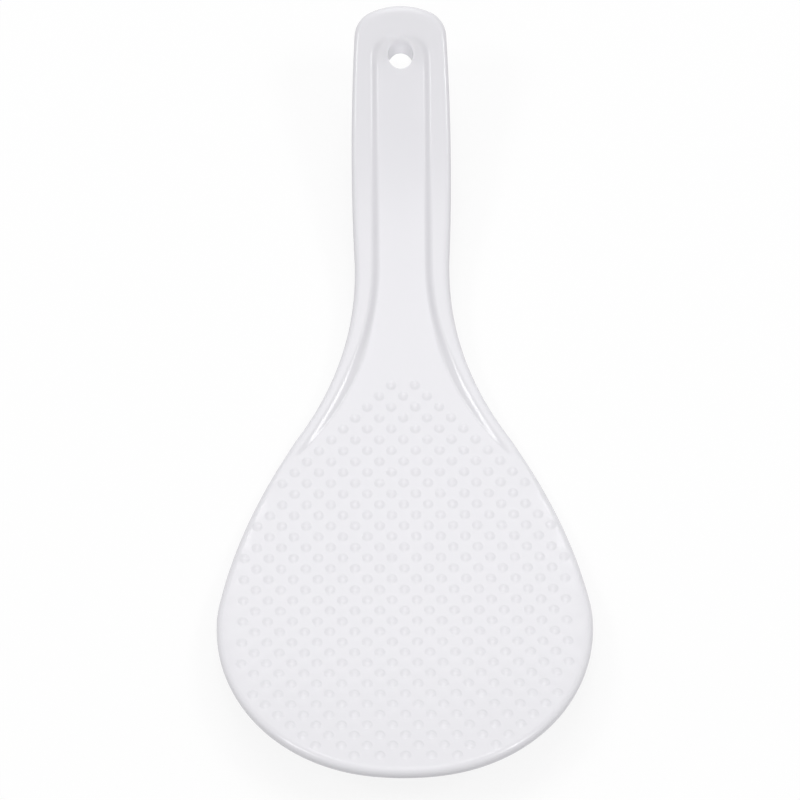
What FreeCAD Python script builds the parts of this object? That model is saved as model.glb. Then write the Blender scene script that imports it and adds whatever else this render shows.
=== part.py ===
import FreeCAD, Part
import math
import os

# A rice paddle moulded in one piece: a broad bowed blade with a field of low bumps on its front, and a
# handle whose front has two raised rails around a shallow channel, with a hanging hole at its end.
# Millimetres. X runs across, Y from the blade's tip to the handle's end, Z up. The paddle lies on the
# back of its blade. Distances called "_y" are measured from the belly line, which is the line across
# the blade that rests on the table. At the end the origin is moved under the middle of the paddle.

Vector = FreeCAD.Vector

# Bow and thickness
bow_radius = 250.0            # front face, about an axis across the paddle
blade_thickness = 3.0
handle_thickness = 5.2        # under the channel floor
thickening_start_y = 24.0     # where the back leaves the blade's thickness
thickening_end_y = 62.0       # where it reaches the handle's
rim_bevel = 0.85              # the round rim, taken off as a bevel on each face

# Plan outline of the blade
blade_width = 85.5
widest_y = -45.0
side_radius = 40.5            # below the widest place
tip_flattening = 14.5         # how far the tip's radius exceeds half the blade's width
shoulder_radius = 30.0        # above the widest place
flank_radius = 115.0

# Plan outline of the handle
neck_radius = 72.5            # hollow curve from the handle into the blade
neck_y = 45.5
grip_width = 24.1
grip_y = 73.0                 # where the grip is widest
grip_radius = 485.0           # swell of the grip's sides
handle_end_y = 108.6
end_crown_radius = 20.0
end_corner_radius = 6.0

# Channel in the handle's front, measured at the middle of its sloping walls
channel_width = 12.8
channel_end_y = 101.6
channel_corner_radius = 4.0
channel_flare_radius = 72.0
channel_flare_y = 48.0
channel_wall_reach = 0.9      # half the run of a wall
rail_height = 1.4
rail_fade_start_y = 29.0      # the rails sink from here
rail_fade_end_y = -2.0        # to nothing here

# Hanging hole, drawn straight down through the handle
hole_diameter = 6.2
hole_y = 97.7

# Bumps, on a diagonal grid
bump_spacing = 4.0            # to the nearest neighbour
bump_width = 2.5
bump_height = 0.4
bump_sides = 6
bump_root = 0.15              # how far a bump's foot reaches into the blade
bump_rows = 36
bump_rows_behind_belly = 6    # rows between the belly line and the handle
bump_edge_margin = 2.6        # from a bump's centre to the rim
bump_field_width = 76.0       # no bump's centre lies outside this width

# Values that follow from these
blade_half = blade_width / 2
axis_z = bow_radius + blade_thickness
tip_radius = blade_half + tip_flattening
row_spacing = bump_spacing / math.sqrt(2)
column_spacing = 2 * row_spacing
row_angle = row_spacing / bow_radius
tool_margin = 10.0            # cutting shapes stand this far past the paddle


def bow_point(x, angle, radius):
    """Point at an angle along the bow, counted from the belly line towards the handle."""
    return Vector(x, radius * math.sin(angle), axis_z - radius * math.cos(angle))


def bow_angle(y):
    return math.asin(y / bow_radius)


def circle_crossing(first, first_radius, second, second_radius, side):
    """Where two circles cross, on one side of the line between their centres."""
    line = second - first
    along = (first_radius**2 - second_radius**2 + line.Length**2) / (2 * line.Length)
    off = math.sqrt(first_radius**2 - along**2)
    line.normalize()
    return first + line * along + Vector(-line.y, line.x, 0) * off * side


def outline_circles():
    """Centres and radii of the tangent arcs down the right side. A hollow arc's radius is negative."""
    grip_half = grip_width / 2
    crown = Vector(0, handle_end_y - end_crown_radius, 0)
    grip = Vector(grip_half - grip_radius, grip_y, 0)
    corner = circle_crossing(
        grip, grip_radius - end_corner_radius, crown, end_crown_radius - end_corner_radius, 1)
    neck_reach = math.sqrt((grip_radius + neck_radius)**2 - (neck_y - grip_y)**2)
    neck = Vector(grip.x + neck_reach, neck_y, 0)
    shoulder = Vector(blade_half - shoulder_radius, widest_y, 0)
    flank = circle_crossing(
        shoulder, flank_radius - shoulder_radius, neck, flank_radius + neck_radius, 1)
    side = Vector(blade_half - side_radius, widest_y, 0)
    tip_rise = math.sqrt((tip_radius - side_radius)**2 - (blade_half - side_radius)**2)
    tip = Vector(0, widest_y + tip_rise, 0)
    return [
        (crown, end_crown_radius),
        (corner, end_corner_radius),
        (grip, grip_radius),
        (neck, -neck_radius),
        (flank, flank_radius),
        (shoulder, shoulder_radius),
        (side, side_radius),
        (tip, tip_radius),
    ]


def tip_y():
    centre, radius = outline_circles()[-1]
    return centre.y - radius


def tangent_point(first, second):
    """Where an arc passes into the next one."""
    (centre, radius), (next_centre, next_radius) = first, second
    return centre + (next_centre - centre) * (radius / (radius - next_radius))


def arc_edge(centre, radius, start, end):
    middle = (start + end) * 0.5 - centre
    middle.normalize()
    return Part.Arc(start, centre + middle * abs(radius), end).toShape()


def mirrored(point):
    return Vector(-point.x, point.y, point.z)


def plan_outline():
    """The closed outline seen from above, in the plane Z = 0."""
    circles = outline_circles()
    points = [tangent_point(a, b) for a, b in zip(circles, circles[1:])]
    right = [arc_edge(c, r, a, b) for (c, r), a, b in zip(circles[1:-1], points, points[1:])]
    left = [
        arc_edge(mirrored(c), r, mirrored(b), mirrored(a))
        for (c, r), a, b in zip(circles[1:-1], points, points[1:])
    ]
    crown, crown_radius = circles[0]
    tip, blade_tip_radius = circles[-1]
    end = arc_edge(crown, crown_radius, mirrored(points[0]), points[0])
    front = arc_edge(tip, blade_tip_radius, points[-1], mirrored(points[-1]))
    return Part.Wire([end] + right + [front] + left[::-1])


def outline_prism(wire):
    top = axis_z - bow_radius * math.cos(bow_angle(handle_end_y)) + tool_margin
    face = Part.Face(wire)
    face.translate(Vector(0, 0, -tool_margin))
    return face.extrude(Vector(0, 0, top + tool_margin))


def channel_half(y):
    """Half the channel's width, which flares into the blade on an arc."""
    drop = max(0.0, channel_flare_y - max(y, rail_fade_end_y))
    return channel_width / 2 + channel_flare_radius - math.sqrt(channel_flare_radius**2 - drop**2)


def rail_rise(x, y):
    """Height of the front above the bow: nothing in the channel and on the blade, full on the rails."""
    side = abs(x) - channel_half(y) + channel_corner_radius
    end = y - channel_end_y + channel_corner_radius
    outside = math.hypot(max(side, 0.0), max(end, 0.0))
    distance = outside + min(max(side, end), 0.0) - channel_corner_radius
    slope = (distance + channel_wall_reach) / (2 * channel_wall_reach)
    fade = (y - rail_fade_end_y) / (rail_fade_start_y - rail_fade_end_y)
    return rail_height * min(max(slope, 0.0), 1.0) * min(max(fade, 0.0), 1.0)


def spaced(start, end, step):
    count = max(1, math.ceil(abs(end - start) / step))
    return [start + (end - start) * n / count for n in range(count)]


def front_stations():
    """Places along Y of the front surface's control points, close together at the channel's end wall."""
    tip = tip_y() - tool_margin
    end = handle_end_y + tool_margin
    wall_start = channel_end_y - channel_corner_radius - 2 * channel_wall_reach
    wall_end = channel_end_y + 2 * channel_wall_reach
    blade = spaced(tip, rail_fade_end_y, 14.0)
    neck = spaced(rail_fade_end_y, channel_flare_y, 7.0)
    grip = spaced(channel_flare_y, wall_start, 12.0)
    wall = spaced(wall_start, wall_end, 1.1)
    return blade + neck + grip + wall + spaced(wall_end, end, 8.0) + [end]


def front_columns(y):
    """Places across X of the control points at one station: they follow the channel's walls."""
    middle = channel_half(y)
    walls = [middle + n * channel_wall_reach for n in (-2, -1, 0, 1, 2)]
    outer = blade_half + tool_margin
    half = walls[:-1] + spaced(walls[-1], outer, (outer - walls[-1]) / 3) + [outer]
    return [-x for x in reversed(half)] + [0.0] + half


def clamped_knots(count, degree):
    spans = count - degree
    knots = [float(n) for n in range(spans + 1)]
    return knots, [degree + 1] + [1] * (spans - 1) + [degree + 1]


def front_surface():
    """The whole front as one smooth surface: blade, channel floor, walls and rails.

    A smooth surface passes inside its control points, by an amount that grows with their spacing along
    the bow, so the points are set that much deeper.
    """
    degree = 3
    stations = front_stations()
    steps = [b - a for a, b in zip(stations, stations[1:])]
    poles = []
    for y, before, after in zip(stations, steps[:1] + steps, steps + steps[-1:]):
        sag = (before**2 + after**2) / (12 * bow_radius)
        angle = bow_angle(y)
        poles.append([bow_point(x, angle, bow_radius + sag - rail_rise(x, y)) for x in front_columns(y)])
    along_knots, along_counts = clamped_knots(len(poles), degree)
    across_knots, across_counts = clamped_knots(len(poles[0]), degree)
    surface = Part.BSplineSurface()
    surface.buildFromPolesMultsKnots(
        poles, along_counts, across_counts, along_knots, across_knots, False, False, degree, degree)
    return surface.toShape()


def back_profile():
    """Side view of everything above the back: blade arc, gentle thickening, handle arc."""
    blade_radius = bow_radius + blade_thickness
    handle_radius = bow_radius + handle_thickness
    first = bow_angle(tip_y() - tool_margin)
    start = bow_angle(thickening_start_y)
    end = bow_angle(thickening_end_y)
    last = bow_angle(handle_end_y + tool_margin)
    points = [bow_point(0, a, r) for a, r in ((first, blade_radius), (start, blade_radius))]
    points += [bow_point(0, a, r) for a, r in ((end, handle_radius), (last, handle_radius))]
    pull = (points[2] - points[1]).Length / 3
    leave = points[1] + Vector(0, math.cos(start), math.sin(start)) * pull
    arrive = points[2] - Vector(0, math.cos(end), math.sin(end)) * pull
    thickening = Part.BezierCurve()
    thickening.setPoles([points[1], leave, arrive, points[2]])
    high = axis_z
    blade = Part.Arc(points[0], bow_point(0, (first + start) / 2, blade_radius), points[1])
    handle = Part.Arc(points[2], bow_point(0, (end + last) / 2, handle_radius), points[3])
    over_handle = Vector(0, points[3].y, high)
    over_tip = Vector(0, points[0].y, high)
    edges = [blade.toShape(), thickening.toShape(), handle.toShape()]
    edges.append(Part.makeLine(points[3], over_handle))
    edges.append(Part.makeLine(over_handle, over_tip))
    edges.append(Part.makeLine(over_tip, points[0]))
    return Part.Face(Part.Wire(edges))


def plain_body(wire):
    """The paddle with sharp rims and no hole or bumps."""
    width = blade_width + 4 * tool_margin
    above_back = back_profile()
    above_back.translate(Vector(-width / 2, 0, 0))
    above_back = above_back.extrude(Vector(width, 0, 0))
    below_front = front_surface().extrude(Vector(0, 0, -axis_z))
    return outline_prism(wire).common(above_back).common(below_front)


def bevelled(body):
    """Every rim edge eased. The straight edges are only seams between faces."""
    rim = [edge for edge in body.Edges if not isinstance(edge.Curve, Part.Line)]
    return body.makeChamfer(rim_bevel, rim)


def hanging_hole():
    bottom = Vector(0, hole_y, -tool_margin)
    return Part.makeCylinder(hole_diameter / 2, axis_z, bottom)


def bump_places(wire):
    """Angle along the bow and X of each bump: the rows widen from the neck and stop short of the rim."""
    field = Part.Face(wire).makeOffset2D(-bump_edge_margin)
    places = []
    for row in range(bump_rows):
        angle = (bump_rows_behind_belly - row) * row_angle
        y = bow_radius * math.sin(angle)
        for column in range(-row - 1, row + 2, 2):
            x = column * column_spacing / 2
            if abs(x) < bump_field_width / 2 and field.isInside(Vector(x, y, 0), 0.001, True):
                places.append((angle, x))
    return places


def bump(x, angle):
    """A low six-sided bump, pointed like the crest of a dome, standing square to the bow."""
    slope = bump_width / 2 / bump_height
    foot_half = (bump_height + bump_root) * slope
    turns = [2 * math.pi * n / bump_sides for n in range(bump_sides)]
    foot = [Vector(foot_half * math.cos(t), foot_half * math.sin(t), -bump_root) for t in turns]
    apex = Vector(0, 0, bump_height)
    loops = [foot[::-1]] + [[foot[n - 1], foot[n], apex] for n in range(bump_sides)]
    faces = [Part.Face(Part.makePolygon(loop + loop[:1])) for loop in loops]
    solid = Part.Solid(Part.Shell(faces))
    tilt = FreeCAD.Rotation(Vector(1, 0, 0), math.degrees(angle))
    solid.Placement = FreeCAD.Placement(bow_point(x, angle, bow_radius), tilt)
    return solid


def paddle():
    wire = plan_outline()
    body = bevelled(plain_body(wire)).cut(hanging_hole())
    bumps = [bump(x, angle) for angle, x in bump_places(wire)]
    body = body.multiFuse(bumps).Solids[0]
    body.translate(Vector(0, -(handle_end_y + tip_y()) / 2, 0))
    return body


os.makedirs("parts", exist_ok=True)
shape = paddle()
shape.exportStep("parts/paddle.step")
box = shape.optimalBoundingBox(False)
print(f"paddle: {box.XLength:.2f} x {box.YLength:.2f} x {box.ZLength:.2f} mm, {shape.Volume:.0f} mm3")
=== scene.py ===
# %% [markdown]
# # A rice paddle in gloss white plastic
#
# The real paddle is one moulding, so the model is one seamless skin. It could be sculpted, or cut from a
# box with modifiers. Here it comes from a few plain facts: an outline of tangent arcs, one bow along the
# length, two rails that sink into the blade, a round rim, a hanging hole and a field of low domes. Each
# fact is a short formula. The skin is worked out flat, as points in plan that are joined into triangles,
# and only then lifted onto the bow.

# %% Load the frame
import math

import bmesh
import bpy
import numpy as np
from mathutils import Matrix, Vector
from mathutils.geometry import delaunay_2d_cdt
from mathutils.kdtree import KDTree


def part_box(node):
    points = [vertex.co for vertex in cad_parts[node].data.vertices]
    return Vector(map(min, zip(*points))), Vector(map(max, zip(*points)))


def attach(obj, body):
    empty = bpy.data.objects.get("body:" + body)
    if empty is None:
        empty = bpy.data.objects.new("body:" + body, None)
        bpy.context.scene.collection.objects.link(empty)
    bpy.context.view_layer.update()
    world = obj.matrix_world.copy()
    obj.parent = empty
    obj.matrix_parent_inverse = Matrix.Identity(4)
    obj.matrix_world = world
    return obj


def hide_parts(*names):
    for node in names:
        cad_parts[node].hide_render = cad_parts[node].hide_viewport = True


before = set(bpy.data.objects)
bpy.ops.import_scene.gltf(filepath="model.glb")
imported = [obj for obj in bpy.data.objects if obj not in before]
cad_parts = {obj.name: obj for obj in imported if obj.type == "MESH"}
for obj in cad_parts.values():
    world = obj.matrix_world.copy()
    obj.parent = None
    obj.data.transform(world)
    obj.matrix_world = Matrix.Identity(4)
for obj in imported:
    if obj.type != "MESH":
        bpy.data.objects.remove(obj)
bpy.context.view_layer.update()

MM = 0.001
low, high = (np.array(corner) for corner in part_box("paddle"))
print("paddle box in mm:", np.round(low / MM, 2), np.round(high / MM, 2))

# %% [markdown]
# ## The bow
#
# The real paddle is bowed along its length. The photograph can't tell the exact curve, so one circle from
# the tip to the handle's end is used. Blender could bend a flat mesh with a Simple Deform modifier. A
# formula is used instead, because the rim, the hole, the domes and the camera all need to know where the
# face is. Sizes are in millimetres, and places along the length are counted from the belly line, the line
# across the blade that touches the table.

# %% Bow
tip_to_belly = 85.65
belly_y = low[1] + tip_to_belly * MM
bow_radius = 250.0
blade_thickness = 3.0
axis_z = bow_radius + blade_thickness


def bow_points(x, y, rise):
    """Points of the face in the CAD frame, in metres. A rise is square to the bow."""
    angle = np.arcsin(y / bow_radius)
    radius = bow_radius - rise
    return np.stack([x * MM, belly_y + radius * np.sin(angle) * MM,
                     (axis_z - radius * np.cos(angle)) * MM], axis=-1)


print("belly line at y =", round(belly_y / MM, 2), "mm, bow's axis at z =", axis_z, "mm")

# %% [markdown]
# ## The outline
#
# Seen from above, the edge flows without corners from the handle's crown to the tip. A Bezier curve traced
# by eye would do, but it is hard to keep its two sides alike. Here the edge is a chain of arcs, each
# tangent to the next: crown, corner, grip, hollow neck, flank, two arcs at the widest place and the tip.
# Each centre follows from its neighbours, so only radii and a few places are chosen.

# %% Arcs of the outline
blade_half = high[0] / MM
handle_end_y = (high[1] - belly_y) / MM
widest_y = -45.0
side_radius, shoulder_radius, flank_radius = 40.5, 30.0, 115.0
tip_flattening = 14.5  # the tip's radius is this much more than half the blade's width
tip_radius = blade_half + tip_flattening
neck_radius, neck_y = 72.5, 45.5
grip_half, grip_y, grip_radius = 12.05, 73.0, 485.0
end_crown_radius, end_corner_radius = 20.0, 6.0


def crossing(first, first_radius, second, second_radius):
    """Where two circles cross, to the left of the line between their centres."""
    line = second - first
    length = np.hypot(*line)
    along = (first_radius**2 - second_radius**2 + length**2) / (2 * length)
    off = math.sqrt(first_radius**2 - along**2)
    line = line / length
    return first + line * along + np.array([-line[1], line[0]]) * off


def outline_circles():
    """Centre and radius of each arc down the right side. A hollow arc's radius is negative."""
    crown = np.array([0.0, handle_end_y - end_crown_radius])
    grip = np.array([grip_half - grip_radius, grip_y])
    corner = crossing(grip, grip_radius - end_corner_radius, crown, end_crown_radius - end_corner_radius)
    reach = math.sqrt((grip_radius + neck_radius) ** 2 - (neck_y - grip_y) ** 2)
    neck = np.array([grip[0] + reach, neck_y])
    shoulder = np.array([blade_half - shoulder_radius, widest_y])
    flank = crossing(shoulder, flank_radius - shoulder_radius, neck, flank_radius + neck_radius)
    side = np.array([blade_half - side_radius, widest_y])
    rise = math.sqrt((tip_radius - side_radius) ** 2 - (blade_half - side_radius) ** 2)
    tip = np.array([0.0, widest_y + rise])
    return [
        (crown, end_crown_radius), (corner, end_corner_radius), (grip, grip_radius), (neck, -neck_radius),
        (flank, flank_radius), (shoulder, shoulder_radius), (side, side_radius), (tip, tip_radius),
    ]


circles = outline_circles()
print("radii of the outline's arcs in mm:", [round(float(radius), 2) for _, radius in circles])

# %% [markdown]
# ## A walk round the outline
#
# A mesh needs points, so the chain of arcs is walked in short steps. A curve object converted to a mesh
# would give points too, but not the direction that leads straight out of the edge at each of them. The
# walk keeps that direction, because it carries the rounding of the rim later on.

# %% Walk round the outline
outline_step = 1.2
sharpest_turn = 0.15  # most radians in one step on a small arc


def outline_points():
    """Points round the outline and their outward directions, the two sides alike."""
    joints = [circles[0][0] + [0, circles[0][1]]]
    for (centre, radius), (following, next_radius) in zip(circles, circles[1:]):
        joints.append(centre + (following - centre) * radius / (radius - next_radius))
    joints.append(circles[-1][0] - [0, circles[-1][1]])
    points, normals = [], []
    for (centre, radius), start, end in zip(circles, joints, joints[1:]):
        start_angle = math.atan2(*(start - centre)[::-1])
        turn = math.atan2(*(end - centre)[::-1]) - start_angle
        turn = (turn + math.pi) % (2 * math.pi) - math.pi
        count = max(2, math.ceil(abs(radius * turn) / min(outline_step, abs(radius) * sharpest_turn)))
        for index in range(count):
            angle = start_angle + turn * index / count
            spoke = np.array([math.cos(angle), math.sin(angle)])
            points.append(centre + abs(radius) * spoke)
            normals.append(math.copysign(1, radius) * spoke)
    points.append(joints[-1])
    normals.append(np.array([0.0, -1.0]))
    points, normals = np.array(points), np.array(normals)
    mirror = np.array([-1, 1])
    return (np.concatenate([points, points[-2:0:-1] * mirror]),
            np.concatenate([normals, normals[-2:0:-1] * mirror]))


outline, outward = outline_points()
print("outline:", len(outline), "points,", np.round(np.ptp(outline, axis=0), 2), "mm")

# %% [markdown]
# ## Channel and rails
#
# The handle has a shallow channel between two rails, and the rails sink into the blade at the shoulders.
# They could be separate strips joined with a Boolean modifier, but the join would show as a crease. Here
# the rails are a rise above the bow, and the channel is the part that doesn't rise. Its edge flares into
# the blade on an arc and closes in a rounded end.

# %% Channel and rails
channel_half_width, channel_end_y, channel_corner = 6.4, 101.6, 4.0
flare_radius, flare_y, flare_past_rails = 72.0, 48.0, 6.0
rail_height = 1.4
rail_fade_start_y, rail_fade_end_y, rail_fade_power = 29.0, -2.0, 2.8


def smooth(t):
    """From 0 to 1 with level ends."""
    t = np.clip(t, 0, 1)
    return t * t * t * (t * (6 * t - 15) + 10)


def rail_fade(y):
    """1 where the rail has its full height, 0 where it has sunk into the blade."""
    sunk = np.clip((rail_fade_start_y - y) / (rail_fade_start_y - rail_fade_end_y), 0, 1)
    return 1 - sunk**rail_fade_power


def channel_half(y):
    """Half the channel's width."""
    drop = np.clip(flare_y - np.maximum(y, rail_fade_end_y - flare_past_rails), 0, None)
    return channel_half_width + flare_radius - np.sqrt(flare_radius**2 - drop**2)


print("channel's half width in mm at the grip, neck and shoulder:",
      [round(float(channel_half(y)), 2) for y in (grip_y, flare_y / 2, rail_fade_end_y)])

# %% [markdown]
# ## The channel's walls
#
# In the photograph the light rolls softly over the walls along the handle, and lies in a bright streak on
# the shoulders. A plain Bevel modifier gives every wall the same section. Here the wall is an S along the
# handle and turns into a roll at the shoulders, steep at its foot, which is what catches the streak. At
# the hanging hole the channel's floor climbs a ramp to the rails.

# %% Walls of the channel
wall_run, shoulder_run = 1.2, 0.6
sunk_width = 0.4  # share of the wall's width that is left where the rail has sunk
foot_softness = 0.08  # share of the wall's width over which its foot is softened
roll_power, roll_start_y, roll_end_y = 1.6, 14.0, 36.0
ramp_start_y, ramp_end_y = 93.5, 104.0


def shoulder_share(y):
    """1 at the shoulders, where the wall is a roll, and 0 along the handle, where it is an S."""
    return 1 - smooth((y - roll_start_y) / (roll_end_y - roll_start_y))


def wall_width(y):
    """The wall narrows as the rail sinks, so it stays steep to the end."""
    full = 2 * wall_run + shoulder_run * shoulder_share(y)
    return full * (sunk_width + (1 - sunk_width) * rail_fade(y))


def rail_rise(x, y):
    """Height of the front above the bow: nothing in the channel and on the blade, full on the rails."""
    side = np.abs(x) - channel_half(y) + channel_corner
    end = y - channel_end_y + channel_corner
    distance = np.hypot(np.maximum(side, 0), np.maximum(end, 0)) + np.minimum(np.maximum(side, end), 0)
    up_wall = (distance - channel_corner + wall_run) / wall_width(y)
    past_foot = (up_wall + np.hypot(up_wall, foot_softness)) / 2
    roll = 1 - np.clip(1 - past_foot, 0, 1) ** roll_power
    share = shoulder_share(y)
    wall = (1 - share) * smooth(up_wall) + share * roll
    ramp = smooth((y - ramp_start_y) / (ramp_end_y - ramp_start_y))
    return rail_height * rail_fade(y) * (wall + (1 - wall) * ramp)


print("rise in mm across the handle at the grip:",
      [round(float(rail_rise(x, grip_y)), 2) for x in np.linspace(0, grip_half, 7)])

# %% [markdown]
# ## Places of the domes
#
# Low domes on the real blade keep rice from sticking. They stand on a diagonal grid that widens row by
# row from the neck and stops short of the rim. Array modifiers would fill a rectangle, so a loop is used:
# it counts rows along the bow, so that they stay evenly apart on the plastic, and drops what is too near
# the edge. A KD tree answers how near that is.

# %% Places of the domes
bump_spacing, bump_radius = 4.0, 1.25
bump_rows, bump_rows_behind_belly = 36, 6
bump_edge_margin, bump_field_half = 2.6, 38.0


def tree_of(points):
    """A search tree for the point nearest to a place in plan."""
    tree = KDTree(len(points))
    for index, (x, y) in enumerate(points):
        tree.insert((x, y, 0), index)
    tree.balance()
    return tree


def bump_centres():
    """X and Y of each dome."""
    pitch = bump_spacing / math.sqrt(2)
    rim = tree_of(outline)
    centres = []
    for row in range(bump_rows):
        y = bow_radius * math.sin((bump_rows_behind_belly - row) * pitch / bow_radius)
        for column in range(-row - 1, row + 2, 2):
            x = column * pitch
            _, index, distance = rim.find((x, y, 0))
            within = np.dot(outline[index] - (x, y), outward[index]) > 0
            if within and distance > bump_edge_margin and abs(x) < bump_field_half:
                centres.append((x, y))
    return np.array(centres)


bumps = bump_centres()
print("domes:", len(bumps))

# %% [markdown]
# ## The shape of a dome
#
# In the photograph each dome is a bright spot in a dark ring. A UV sphere sunk into the blade would meet it
# in a sharp line. Here a round cap runs out into the blade in a small hollow, and rings of points follow
# the shape closely enough for a smooth highlight.

# %% Shape of a dome
bump_height = 0.23
bump_cap, bump_foot = 0.88, 1.12  # shares of the radius where the cap and the hollow end
dome_rings = ((0.3, 8), (0.55, 12), (0.75, 16), (bump_cap, 16), (1.0, 16), (bump_foot, 16))


def dome(share):
    """Height of a dome at a share of its radius."""
    cap = 1 - share**2 / (bump_cap * bump_foot)
    hollow = np.clip(bump_foot - share, 0, None) ** 2 / (bump_foot * (bump_foot - bump_cap))
    return bump_height * np.where(share < bump_cap, cap, hollow)


def bow_slant(y):
    """How much shorter a length along the bow looks in plan."""
    return math.sqrt(1 - (y / bow_radius) ** 2)


def ring(centre, radius, count, squash):
    """Points round an ellipse whose second axis is squashed."""
    turn = np.arange(count) * 2 * math.pi / count
    return np.array(centre) + radius * np.stack([np.cos(turn), squash * np.sin(turn)], axis=-1)


def dome_points():
    """The middle of each dome and the rings round it."""
    points = [bumps]
    for share, count in dome_rings:
        for x, y in bumps:
            points.append(ring((x, y), bump_radius * share, count, bow_slant(y)))
    return np.concatenate(points)


domes = dome_points()
print("points on the domes:", len(domes))

# %% [markdown]
# ## Lines along the walls
#
# The light changes fastest on the channel's walls, so the mesh needs edges that run along them, as a
# modeller adds edge loops by hand. With loose points alone, triangles would cut across the crest and show
# as teeth. Here each line keeps its share of the way up the wall, from one shoulder round the channel's
# end to the other.

# %% Lines along the walls
wall_shares = (-0.15, -0.07, 0, 0.06, 0.12, 0.2, 0.3, 0.4, 0.5, 0.6, 0.7, 0.8, 0.9, 1.0, 1.12)
wall_step, corner_points = 1.0, 10


def wall_lines():
    """Lines of equal share up the wall."""
    flat = channel_half_width - channel_corner
    corner_y = channel_end_y - channel_corner
    rows = np.arange(rail_fade_end_y, corner_y, wall_step)
    turn = np.linspace(0, math.pi / 2, corner_points)
    lines = []
    for share in wall_shares:
        side = np.stack([channel_half(rows) - wall_run + share * wall_width(rows), rows], axis=-1)
        reach = channel_corner - wall_run + share * 2 * wall_run
        corner = np.stack([flat + reach * np.cos(turn), corner_y + reach * np.sin(turn)], axis=-1)
        middle = np.array([[flat / 2, corner[-1, 1]]])
        right = np.concatenate([side, corner, middle])
        lines.append(np.concatenate([right, right[::-1] * [-1, 1]]))
    return lines


walls = wall_lines()
print("wall lines:", len(walls), "with", sum(len(line) for line in walls), "points")

# %% [markdown]
# ## The hanging hole
#
# The handle has a round hole near its end, to hang it from a hook. A Boolean cut would leave long thin
# triangles round it, so the hole's edge is a ring of points that the front and the back are built round.
# At the front the edge is eased, most on the far side, where the floor slopes towards it.

# %% Hole
hole_radius, hole_y, hole_points = 3.1, 97.7, 48
hole_easing, hole_back_easing = 0.3, 0.15
hole_flare, hole_flare_depth = 0.5, 0.9
hole_turn = np.arange(hole_points) * 2 * math.pi / hole_points
far_side = np.clip(np.sin(hole_turn), 0, 1) ** 2


def hole_ring(easing):
    """The hole's edge, wider than its radius by an easing at each point."""
    reach = hole_radius + easing
    return np.stack([reach * np.cos(hole_turn), hole_y + reach * np.sin(hole_turn)], axis=-1)


def from_hole(points):
    """Distance from the hole's middle."""
    return np.hypot(points[:, 0], points[:, 1] - hole_y)


front_hole = hole_ring(hole_easing + hole_flare * far_side)
back_hole = hole_ring(hole_back_easing)
print("hole's edge at the front, mm:", np.round(np.ptp(front_hole, axis=0), 2))

# %% [markdown]
# ## The rim
#
# The rim is rounded, more at the tip and at the handle's end than between them. A plain Bevel modifier has
# one width all round, so each point of the outline gets its own rounding here. The front ends where the
# rounding begins. Where a rail reaches the rim, the front's border is moved a little along the length, so
# that it still meets the rim once the rail's rise is square to the bow. A few rounds settle how far.

# %% Rim and borders
rounding_places = (-80.0, -62.0, -12.0, 2.0, 16.0, 34.0, 100.0, 106.0)
roundings = (2.1, 1.5, 1.5, 0.8, 0.9, 1.3, 1.3, 2.2)
back_rounding_places, back_roundings = (-80.0, -62.0), (0.85, 1.4)
border_rounds = 6

rounding = np.interp(outline[:, 1], rounding_places, roundings)
inner = outline - outward * rounding[:, None]
front_loop = inner.copy()
for _ in range(border_rounds):
    inner_rise = rail_rise(front_loop[:, 0], front_loop[:, 1])
    front_loop[:, 1] = inner[:, 1] * bow_radius / (bow_radius - inner_rise)
back_rounding = np.interp(outline[:, 1], back_rounding_places, back_roundings)
back_loop = outline - outward * back_rounding[:, None]
print("rounding of the front rim in mm:", round(rounding.min(), 2), "to", round(rounding.max(), 2))

# %% [markdown]
# ## From points to a sheet
#
# Points and lines become triangles with Blender's constrained Delaunay triangulation, which keeps the
# given lines as edges and makes the other triangles as even as it can. Filling a border with one big
# n-gon would be simpler, but n-gons shade badly on a curved face. A loose grid fills the plain stretches,
# so triangles are small where the light changes quickly and large where it doesn't.


# %% Which points lie inside
def inside(points, loop, clear):
    """Which points lie inside a loop by more than a distance."""
    tree = tree_of(loop)
    following = np.roll(loop, -1, axis=0)
    kept = []
    for x, y in points:
        crosses = (loop[:, 1] > y) != (following[:, 1] > y)
        start, end = loop[crosses], following[crosses]
        cuts = start[:, 0] + (y - start[:, 1]) / (end[:, 1] - start[:, 1]) * (end[:, 0] - start[:, 0])
        kept.append(np.count_nonzero(cuts > x) % 2 == 1 and tree.find((x, y, 0))[2] > clear)
    return np.array(kept)


print("hole within the front's border:", bool(inside(front_hole, front_loop, 0).all()))

# %% Loose grid and sheet
row_share = 0.87  # rows of even triangles are this share of a step apart
near_share = 0.7  # nearer to another point than this share of a step, the grid leaves a gap
weld_in_plan = 1e-7
trial_step = 10.0


def fill_points(taken, step):
    """A loose grid wherever no other point is nearer than most of a step."""
    tree = tree_of(taken)
    grid = []
    for row, y in enumerate(np.arange(-tip_to_belly, handle_end_y, step * row_share)):
        for x in np.arange(-blade_half, blade_half, step) + step / 2 * (row % 2):
            if tree.find((x, y, 0))[2] > near_share * step:
                grid.append((x, y))
    return np.array(grid)


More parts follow.
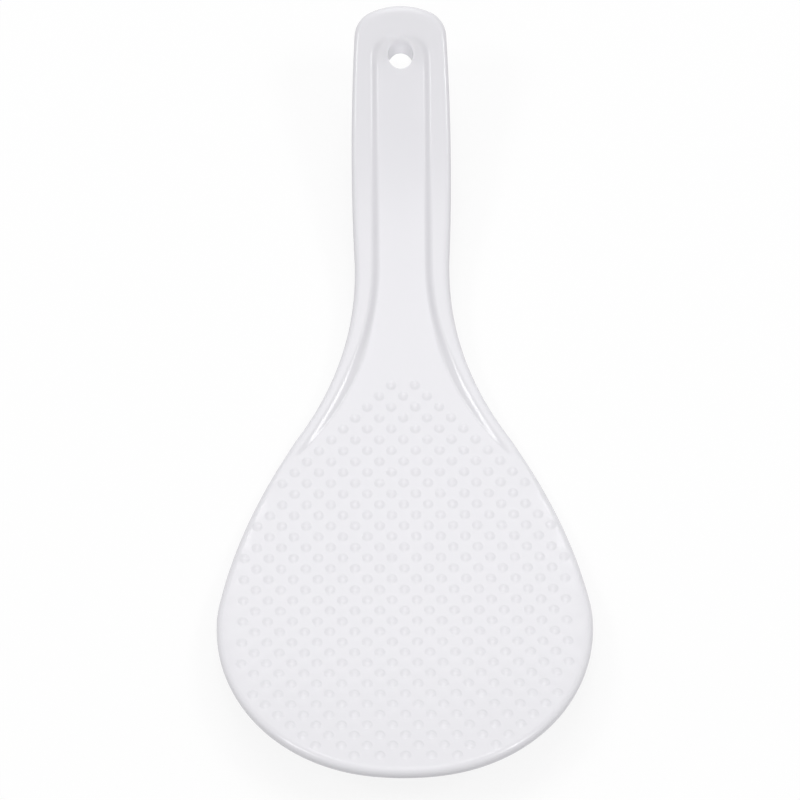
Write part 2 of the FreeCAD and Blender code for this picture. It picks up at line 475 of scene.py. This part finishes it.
def sheet(border, hole, lines, points):
    """Triangles over the area inside a border and outside the hole, with the lines as edges."""
    vertices, edges = [], []
    for loop in (border, hole):
        start, count = len(vertices), len(loop)
        edges += [(start + index, start + (index + 1) % count) for index in range(count)]
        vertices += [Vector(point) for point in loop]
    for line in lines:
        start = len(vertices)
        edges += [(start + index, start + index + 1) for index in range(len(line) - 1)]
        vertices += [Vector(point) for point in line]
    vertices += [Vector(point) for point in points]
    found, _, faces, *_ = delaunay_2d_cdt(vertices, edges, [], 1, weld_in_plan)
    found = np.array([tuple(vertex) for vertex in found])
    middles = np.array([found[list(face)].mean(axis=0) for face in faces])
    in_hole = inside(middles, hole, 0)
    return found, [list(face) for face, gone in zip(faces, in_hole) if not gone]


trial = inside(fill_points(front_hole, trial_step), front_loop, 0)
print("a trial grid of", trial_step, "mm has", trial.sum(), "points on the front")

# %% [markdown]
# ## The front
#
# The front is the face that serves the rice, and everything so far meets on it. It could be a plain face
# with its relief in a shader's displacement, but then the exported mesh would lack the relief. Here the
# domes' rings, the wall lines and a loose grid are joined in plan, each point is given its rise, and the
# sheet is lifted onto the bow.

# %% Rise of the domes
dome_reach = 1.3 * bump_radius
on_border = 0.01  # a point nearer than this belongs to the border


def dome_rise(plan):
    """What the domes add to each point. The border gets nothing, so that it meets the rim."""
    centres, border = tree_of(bumps), tree_of(front_loop)
    added = np.zeros(len(plan))
    for index, (x, y) in enumerate(plan):
        (near_x, near_y, _), _, distance = centres.find((x, y, 0))
        if distance < dome_reach and border.find((x, y, 0))[2] >= on_border:
            added[index] = dome(math.hypot(x - near_x, (y - near_y) / bow_slant(near_y)) / bump_radius)
    return added


print("highest dome in mm:", round(dome_rise(bumps).max(), 3))

# %% Front
front_step = 2.0
border_gap, hole_gap = 0.25, 0.2  # least distance of lines and rings from the border and the hole
loose_border_gap, loose_hole_gap = 0.9, 0.5  # the same for the loose grid


def stretches(line, keep):
    """The parts of a line whose points are all kept."""
    breaks = np.flatnonzero(np.diff(keep)) + 1
    parts = zip(np.split(line, breaks), np.split(keep, breaks))
    return [part for part, kept in parts if kept[0] and len(part) > 1]


def front_patch():
    hole_edge = from_hole(front_hole).max()
    lines = []
    for line in walls:
        keep = inside(line, front_loop, border_gap) & (from_hole(line) > hole_edge + hole_gap)
        lines += stretches(line, keep)
    rings = domes[inside(domes, front_loop, border_gap)]
    loose = fill_points(np.concatenate([rings, front_hole] + lines), front_step)
    clear = inside(loose, front_loop, loose_border_gap) & (from_hole(loose) > hole_edge + loose_hole_gap)
    plan, faces = sheet(front_loop, front_hole, lines, np.concatenate([rings, loose[clear]]))
    rise = rail_rise(plan[:, 0], plan[:, 1]) + dome_rise(plan)
    return bow_points(plan[:, 0], plan[:, 1], rise), faces


front = front_patch()
print("front:", len(front[0]), "points,", len(front[1]), "triangles")

# %% [markdown]
# ## The back
#
# The photograph doesn't show the back, so it is a guess: a plain face that follows the bow, with the handle
# thicker than the blade. A plain Solidify modifier gives one thickness everywhere, so the back is a sheet
# of its own at a thickness that grows along the neck.

# %% Back
handle_thickness = 5.2
thickening_start_y, thickening_end_y = 24.0, 62.0
back_step, back_gap = 3.0, 1.2


def thickness(y):
    """Thickness of the plastic, without the rails."""
    grown = smooth((y - thickening_start_y) / (thickening_end_y - thickening_start_y))
    return blade_thickness + (handle_thickness - blade_thickness) * grown


def height(y, radius):
    """Height of the circle of that radius about the bow's axis."""
    return axis_z - np.sqrt(radius**2 - y**2)


def back_height(plan):
    """Height of the back under each point."""
    return height(plan[:, 1], bow_radius + thickness(plan[:, 1]))


def in_frame(plan, z):
    """Points at given heights in the CAD frame, in metres."""
    return np.stack([plan[:, 0] * MM, belly_y + plan[:, 1] * MM, z * MM], axis=-1)


def back_patch():
    loose = fill_points(back_hole, back_step)
    clear = inside(loose, back_loop, back_gap) & (from_hole(loose) > hole_radius + back_gap)
    plan, faces = sheet(back_loop, back_hole, [], loose[clear])
    return in_frame(plan, back_height(plan)), faces


back = back_patch()
print("back:", len(back[0]), "points,", len(back[1]), "triangles")

# %% [markdown]
# ## Between front and back
#
# The rim and the hole's wall are the same kind of surface: a rounding, a straight side and another rounding.
# Blender's Bridge Edge Loops would join two borders with straight faces. Here rings follow a quarter turn
# from the front to the side and another from the side to the back, and a strip of faces joins each ring to
# the next.

# %% Rim
rings_in_rounding = 8
quarter = np.linspace(0, math.pi / 2, rings_in_rounding)


def strip(rings):
    """Faces between rings of equal count, each closed on itself."""
    count = len(rings[0])
    faces = []
    for row in range(len(rings) - 1):
        first, second = row * count, (row + 1) * count
        for index in range(count):
            following = (index + 1) % count
            faces.append([first + index, first + following, second + following, second + index])
    return np.concatenate(rings), faces


def rim_patch():
    rings = []
    for angle in quarter:
        plan = outline - outward * (rounding * (1 - math.sin(angle)))[:, None]
        drop = rounding * (1 - math.cos(angle))
        rings.append(in_frame(plan, height(plan[:, 1], bow_radius - inner_rise) - drop))
    for angle in quarter[::-1]:
        plan = outline - outward * (back_rounding * (1 - math.sin(angle)))[:, None]
        lift = back_rounding * (1 - math.cos(angle))
        rings.append(in_frame(plan, back_height(plan) + lift))
    return strip(rings)


rim = rim_patch()
print("rim:", len(rim[1]), "faces")


# %% Wall of the hole
def hole_patch():
    rings = []
    for angle in quarter:
        plan = hole_ring((hole_easing + hole_flare * far_side) * (1 - math.sin(angle)))
        drop = (hole_easing + hole_flare_depth * far_side) * (1 - math.cos(angle))
        points = bow_points(plan[:, 0], plan[:, 1], rail_rise(plan[:, 0], plan[:, 1]))
        rings.append(points - np.outer(drop * MM, (0, 0, 1)))
    for angle in quarter[::-1]:
        plan = hole_ring(hole_back_easing * (1 - math.sin(angle)))
        lift = hole_back_easing * (1 - math.cos(angle))
        rings.append(in_frame(plan, back_height(plan) + lift))
    return strip(rings)


hole_wall = hole_patch()
print("hole's wall:", len(hole_wall[1]), "faces")

# %% [markdown]
# ## The skin
#
# The paddle has no seams, and neither has the model. The patches could stay four objects side by side, but
# smooth shading would break at their borders. Every patch shares its border points with the next, so
# welding them in bmesh closes the skin, and a count of open edges shows whether it did.

# %% Join the skin
weld = 0.0015 * MM  # points nearer than this become one


def skin(name, patches):
    """One closed mesh from patches that share their borders."""
    sculpt = bmesh.new()
    for points, faces in patches:
        vertices = [sculpt.verts.new(point) for point in points]
        for face in faces:
            sculpt.faces.new([vertices[index] for index in face])
    bmesh.ops.remove_doubles(sculpt, verts=sculpt.verts, dist=weld)
    bmesh.ops.recalc_face_normals(sculpt, faces=sculpt.faces)
    open_edges = sum(not edge.is_manifold for edge in sculpt.edges)
    mesh = bpy.data.meshes.new(name)
    sculpt.to_mesh(mesh)
    sculpt.free()
    mesh.shade_smooth()
    piece = bpy.data.objects.new(name, mesh)
    bpy.context.scene.collection.objects.link(piece)
    print(name, "faces:", len(mesh.polygons), "open edges:", open_edges)
    return piece


paddle = skin("paddle_skin", [front, rim, back, hole_wall])
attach(paddle, "root")
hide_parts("paddle")

# %% [markdown]
# ## A mottled finish
#
# Moulded white plastic is never one flat value: the pigment mottles faintly, the tool's polish varies, so
# the gloss drifts from place to place, and the skin has a grain a few micrometres deep. Painted image
# textures could show that, but they need unwrapping and have one resolution. A node group makes all three
# from noise in the object's own space, and the table's paint can use it too, with other values.

# %% Mottle node group
noise_detail, grain_fineness = 3.0, 12.0


def socket(group, name, kind, way, value=None):
    made = group.interface.new_socket(name, in_out=way, socket_type=kind)
    if value is not None:
        made.default_value = value


def mottle_group():
    """Noise in object space: a colour between two tints, a roughness between two values and a grain."""
    group = bpy.data.node_groups.new("Moulded mottle", "ShaderNodeTree")
    socket(group, "Tint A", "NodeSocketColor", "INPUT", (0.8, 0.8, 0.8, 1))
    socket(group, "Tint B", "NodeSocketColor", "INPUT", (0.8, 0.8, 0.8, 1))
    socket(group, "Scale", "NodeSocketFloat", "INPUT", 60.0)
    socket(group, "Gloss low", "NodeSocketFloat", "INPUT", 0.2)
    socket(group, "Gloss high", "NodeSocketFloat", "INPUT", 0.3)
    socket(group, "Color", "NodeSocketColor", "OUTPUT")
    socket(group, "Roughness", "NodeSocketFloat", "OUTPUT")
    socket(group, "Height", "NodeSocketFloat", "OUTPUT")
    nodes, links = group.nodes, group.links
    given, out = nodes.new("NodeGroupInput"), nodes.new("NodeGroupOutput")
    place = nodes.new("ShaderNodeTexCoord")
    noise, grain = nodes.new("ShaderNodeTexNoise"), nodes.new("ShaderNodeTexNoise")
    noise.inputs["Detail"].default_value = noise_detail
    mix = nodes.new("ShaderNodeMix")
    mix.data_type = "RGBA"
    gloss = nodes.new("ShaderNodeMapRange")
    finer = nodes.new("ShaderNodeMath")
    finer.operation = "MULTIPLY"
    finer.inputs[1].default_value = grain_fineness
    links.new(place.outputs["Object"], noise.inputs["Vector"])
    links.new(place.outputs["Object"], grain.inputs["Vector"])
    links.new(given.outputs["Scale"], finer.inputs[0])
    links.new(finer.outputs["Value"], grain.inputs["Scale"])
    links.new(given.outputs["Scale"], noise.inputs["Scale"])
    links.new(noise.outputs["Fac"], mix.inputs["Factor"])
    links.new(given.outputs["Tint A"], mix.inputs["A"])
    links.new(given.outputs["Tint B"], mix.inputs["B"])
    links.new(noise.outputs["Fac"], gloss.inputs["Value"])
    links.new(given.outputs["Gloss low"], gloss.inputs["To Min"])
    links.new(given.outputs["Gloss high"], gloss.inputs["To Max"])
    links.new(mix.outputs["Result"], out.inputs["Color"])
    links.new(gloss.outputs["Result"], out.inputs["Roughness"])
    links.new(grain.outputs["Fac"], out.inputs["Height"])
    return group


mottle = mottle_group()
print("node group:", mottle.name, "with", len(mottle.nodes), "nodes")

# %% [markdown]
# ## White plastic
#
# The paddle's plastic is a slightly violet white with a gloss. Real plastic also scatters light under its
# surface. A shader can do that too, but it renders more slowly and nothing in the photograph calls for it,
# so an ordinary glossy shader is used. The group gives it two tints, the drifting gloss and the grain.

# %% White plastic
pigment = (0.82, 0.8135, 0.846), (0.834, 0.827, 0.86)


def mottled_material(name, tints, scale, gloss_range, grain_depth):
    """A glossy material whose colour, roughness and grain come from the node group."""
    material = bpy.data.materials.new(name)
    material.use_nodes = True
    nodes, links = material.node_tree.nodes, material.node_tree.links
    shader = nodes["Principled BSDF"]
    effect = nodes.new("ShaderNodeGroup")
    effect.node_tree = mottle
    effect.inputs["Tint A"].default_value = (*tints[0], 1)
    effect.inputs["Tint B"].default_value = (*tints[1], 1)
    effect.inputs["Scale"].default_value = scale
    effect.inputs["Gloss low"].default_value = gloss_range[0]
    effect.inputs["Gloss high"].default_value = gloss_range[1]
    links.new(effect.outputs["Color"], shader.inputs["Base Color"])
    links.new(effect.outputs["Roughness"], shader.inputs["Roughness"])
    grain = nodes.new("ShaderNodeBump")
    grain.inputs["Distance"].default_value = grain_depth
    links.new(effect.outputs["Height"], grain.inputs["Height"])
    links.new(grain.outputs["Normal"], shader.inputs["Normal"])
    return material


plastic = mottled_material("white_plastic", pigment, scale=60.0, gloss_range=(0.14, 0.2),
                           grain_depth=0.002 * MM)
paddle.data.materials.append(plastic)
print("plastic:", plastic.name)

# %% [markdown]
# ## The table
#
# The photograph has a plain white background. A table lit to pure white would throw so much light back that
# the paddle's rim would fade. So to the light the table is grey, and only where the camera looks, directly
# or in a reflection, it is white, with a trace of the shadow near the paddle. The Light Path node tells the
# two apart.

# %% Table
table_size = 8.0
table_greys = (0.59, 0.59, 0.6), (0.61, 0.61, 0.62)
shadow_share = 0.16
shadow_near, shadow_far = 0.1, 0.5  # metres from the middle where the shadow's share starts and ends to fade


def seen_directly(nodes, links):
    """A value that is 1 where the camera looks, directly, in a reflection or through glass, else 0."""
    path = nodes.new("ShaderNodeLightPath")
    looks = path.outputs["Is Camera Ray"]
    for other in ("Is Glossy Ray", "Is Transmission Ray"):
        either = nodes.new("ShaderNodeMath")
        either.operation = "MAXIMUM"
        links.new(looks, either.inputs[0])
        links.new(path.outputs[other], either.inputs[1])
        looks = either.outputs["Value"]
    return looks


def white_to_the_camera(paint):
    """Show white where the camera looks, mixed with a share of the shadow that fades with distance."""
    nodes, links = paint.node_tree.nodes, paint.node_tree.links
    white, paper = nodes.new("ShaderNodeEmission"), nodes.new("ShaderNodeBsdfDiffuse")
    paper.inputs["Color"].default_value = (1, 1, 1, 1)
    sight, surface = nodes.new("ShaderNodeMixShader"), nodes.new("ShaderNodeMixShader")
    place, away = nodes.new("ShaderNodeTexCoord"), nodes.new("ShaderNodeVectorMath")
    away.operation = "LENGTH"
    fade = nodes.new("ShaderNodeMapRange")
    fade.inputs["From Min"].default_value = shadow_near
    fade.inputs["From Max"].default_value = shadow_far
    fade.inputs["To Min"].default_value = shadow_share
    fade.inputs["To Max"].default_value = 0.0
    links.new(place.outputs["Object"], away.inputs[0])
    links.new(away.outputs["Value"], fade.inputs["Value"])
    links.new(fade.outputs["Result"], sight.inputs["Fac"])
    links.new(white.outputs["Emission"], sight.inputs[1])
    links.new(paper.outputs["BSDF"], sight.inputs[2])
    links.new(seen_directly(nodes, links), surface.inputs["Fac"])
    links.new(nodes["Principled BSDF"].outputs["BSDF"], surface.inputs[1])
    links.new(sight.outputs["Shader"], surface.inputs[2])
    links.new(surface.outputs["Shader"], nodes["Material Output"].inputs["Surface"])


bpy.ops.mesh.primitive_plane_add(size=table_size, location=(0, 0, 0))
table = bpy.context.object
table.name = "table"
table_paint = mottled_material("table_paint", table_greys, scale=3.0, gloss_range=(0.85, 0.95),
                               grain_depth=0.05 * MM)
white_to_the_camera(table_paint)
table.data.materials.append(table_paint)
print("table:", table_size, "m wide")

# %% [markdown]
# ## Light
#
# Low relief on glossy white shows by what it mirrors, so one even light from all round would hide the domes.
# Here a strip of two softboxes runs from overhead to behind the handle. The blade mirrors the strip and
# looks bright, and the flanks of the domes and the far end of the handle lean away from it and look darker.
# Two tiny lamps beside the strip lighten the middle of each dome. A small softbox on each side puts a
# streak on the shoulder across from it, and a pin spot reaches into the hanging hole. Places are in metres.


# %% Softboxes
def hang(light, place, aim, power):
    """Put a lamp in place, pointed at its aim."""
    light.energy = power
    lamp = bpy.data.objects.new(light.name, light)
    lamp.location = place
    lamp.rotation_euler = (Vector(aim) - Vector(place)).to_track_quat("-Z", "Y").to_euler()
    bpy.context.scene.collection.objects.link(lamp)


def softbox(name, place, aim, width, depth, power):
    light = bpy.data.lights.new(name, "AREA")
    light.shape = "RECTANGLE"
    light.size, light.size_y = width, depth
    hang(light, place, aim, power)


def softbox_pair(names, place, aim, width, depth, power):
    """A softbox on the left and its mirror image on the right."""
    for name, side in zip(names, (-1, 1)):
        softbox(name, (side * place[0], *place[1:]), aim, width, depth, power)


softbox("overhead", place=(0, 0.68, 1.46), aim=(0, 0, 0), width=0.5, depth=1.35, power=3.2)
softbox("behind", place=(0, 1.58, 0.8), aim=(0, 0, 0), width=0.7, depth=0.95, power=1.5)
softbox_pair(("left", "right"), place=(0.72, -0.07, 0.9), aim=(0, 0.03, 0), width=0.28, depth=0.25, power=1.8)
softbox_pair(("spark_left", "spark_right"), place=(0.3, 0.92, 1.31), aim=(0, -0.03, 0),
             width=0.06, depth=0.06, power=0.4)

# %% Pin spot
aim_depth = 2.6  # how far down the hole's far wall the spot is aimed
spot_from_wall = np.array([0, -0.143, 0.205])
spot_edge, spot_radius = 0.6, 0.002


def pin_spot(name, place, aim, degrees, power):
    """A narrow beam with a soft edge."""
    light = bpy.data.lights.new(name, "SPOT")
    light.spot_size = math.radians(degrees)
    light.spot_blend = spot_edge
    light.shadow_soft_size = spot_radius
    hang(light, place, aim, power)


hole_middle = bow_points(np.array([0.0]), np.array([hole_y]), np.array([0.0]))[0]
far_wall = hole_middle + np.array([0, hole_radius, -aim_depth]) * MM
pin_spot("hole", far_wall + spot_from_wall, far_wall, degrees=1.0, power=2.5)
print("pin spot aimed at, in mm:", np.round(far_wall / MM, 2))

# %% [markdown]
# ## The room
#
# The room's light fills the shadows from all round. A plain white world would light the rim as strongly as
# the face, so the room is dim at the horizon and brightest overhead, a little towards the blade's end. To
# the camera it is white, like the table.

# %% Room
room_horizon, room_zenith = 0.2, 0.81
room_brightest = (0, -0.1, 1)


def room_light():
    """Light from all round, strongest from one direction, in a room that is white to the camera."""
    world = bpy.data.worlds.new("room")
    world.use_nodes = True
    nodes, links = world.node_tree.nodes, world.node_tree.links
    way, facing = nodes.new("ShaderNodeTexCoord"), nodes.new("ShaderNodeVectorMath")
    facing.operation = "DOT_PRODUCT"
    facing.inputs[1].default_value = Vector(room_brightest).normalized()
    links.new(way.outputs["Generated"], facing.inputs[0])
    climb, level = nodes.new("ShaderNodeMapRange"), nodes.new("ShaderNodeMapRange")
    climb.inputs["To Min"].default_value = room_horizon
    climb.inputs["To Max"].default_value = room_zenith
    level.inputs["To Max"].default_value = 1.0
    links.new(facing.outputs["Value"], climb.inputs["Value"])
    links.new(climb.outputs["Result"], level.inputs["To Min"])
    links.new(seen_directly(nodes, links), level.inputs["Value"])
    nodes["Background"].inputs["Color"].default_value = (1, 1, 1, 1)
    links.new(level.outputs["Result"], nodes["Background"].inputs["Strength"])
    bpy.context.scene.world = world


room_light()
print("room light from", room_horizon, "at the horizon to", room_zenith)

# %% [markdown]
# ## Camera
#
# The photograph looks down on the paddle from the blade's end. A camera could be moved by hand until the
# outlines agree. Here its place follows from a tilt, a distance and the point on the bow that it looks at,
# so each can be changed alone. A long lens, from about 0.7 m, fits the photograph's outlines.

# %% Camera
view_tilt, view_roll = math.radians(26.95), math.radians(-0.41)
view_distance, view_row_y = 703.2, 16.96
view_rise, view_left = 3.54, 0.72
pixel_focal_length, image_size = 2963.0, 800
sensor_width, near_clip = 36.0, 0.05


def photo_camera():
    """A camera at its distance from the point it looks at, shifted a little down and to the left."""
    forward = np.array([0, math.sin(view_tilt), -math.cos(view_tilt)])
    down = np.array([0, -math.cos(view_tilt), -math.sin(view_tilt)])
    target = bow_points(np.array([0.0]), np.array([view_row_y]), np.array([0.0]))[0]
    place = target - view_distance * MM * forward + view_rise * MM * down - np.array([view_left * MM, 0, 0])
    turn = np.stack([np.cross(forward, -down), -down, -forward], axis=1)
    camera = bpy.data.objects.new("camera", bpy.data.cameras.new("camera"))
    camera.data.sensor_width = sensor_width
    camera.data.lens = pixel_focal_length / image_size * sensor_width
    camera.data.clip_start = near_clip
    camera.matrix_world = (Matrix.Translation(place) @ Matrix(turn.tolist()).to_4x4()
                           @ Matrix.Rotation(view_roll, 4, "Z"))
    bpy.context.scene.collection.objects.link(camera)
    return camera


bpy.context.scene.camera = photo_camera()
bpy.context.scene.view_settings.view_transform = "Standard"
print("lens in mm:", round(bpy.context.scene.camera.data.lens, 1))
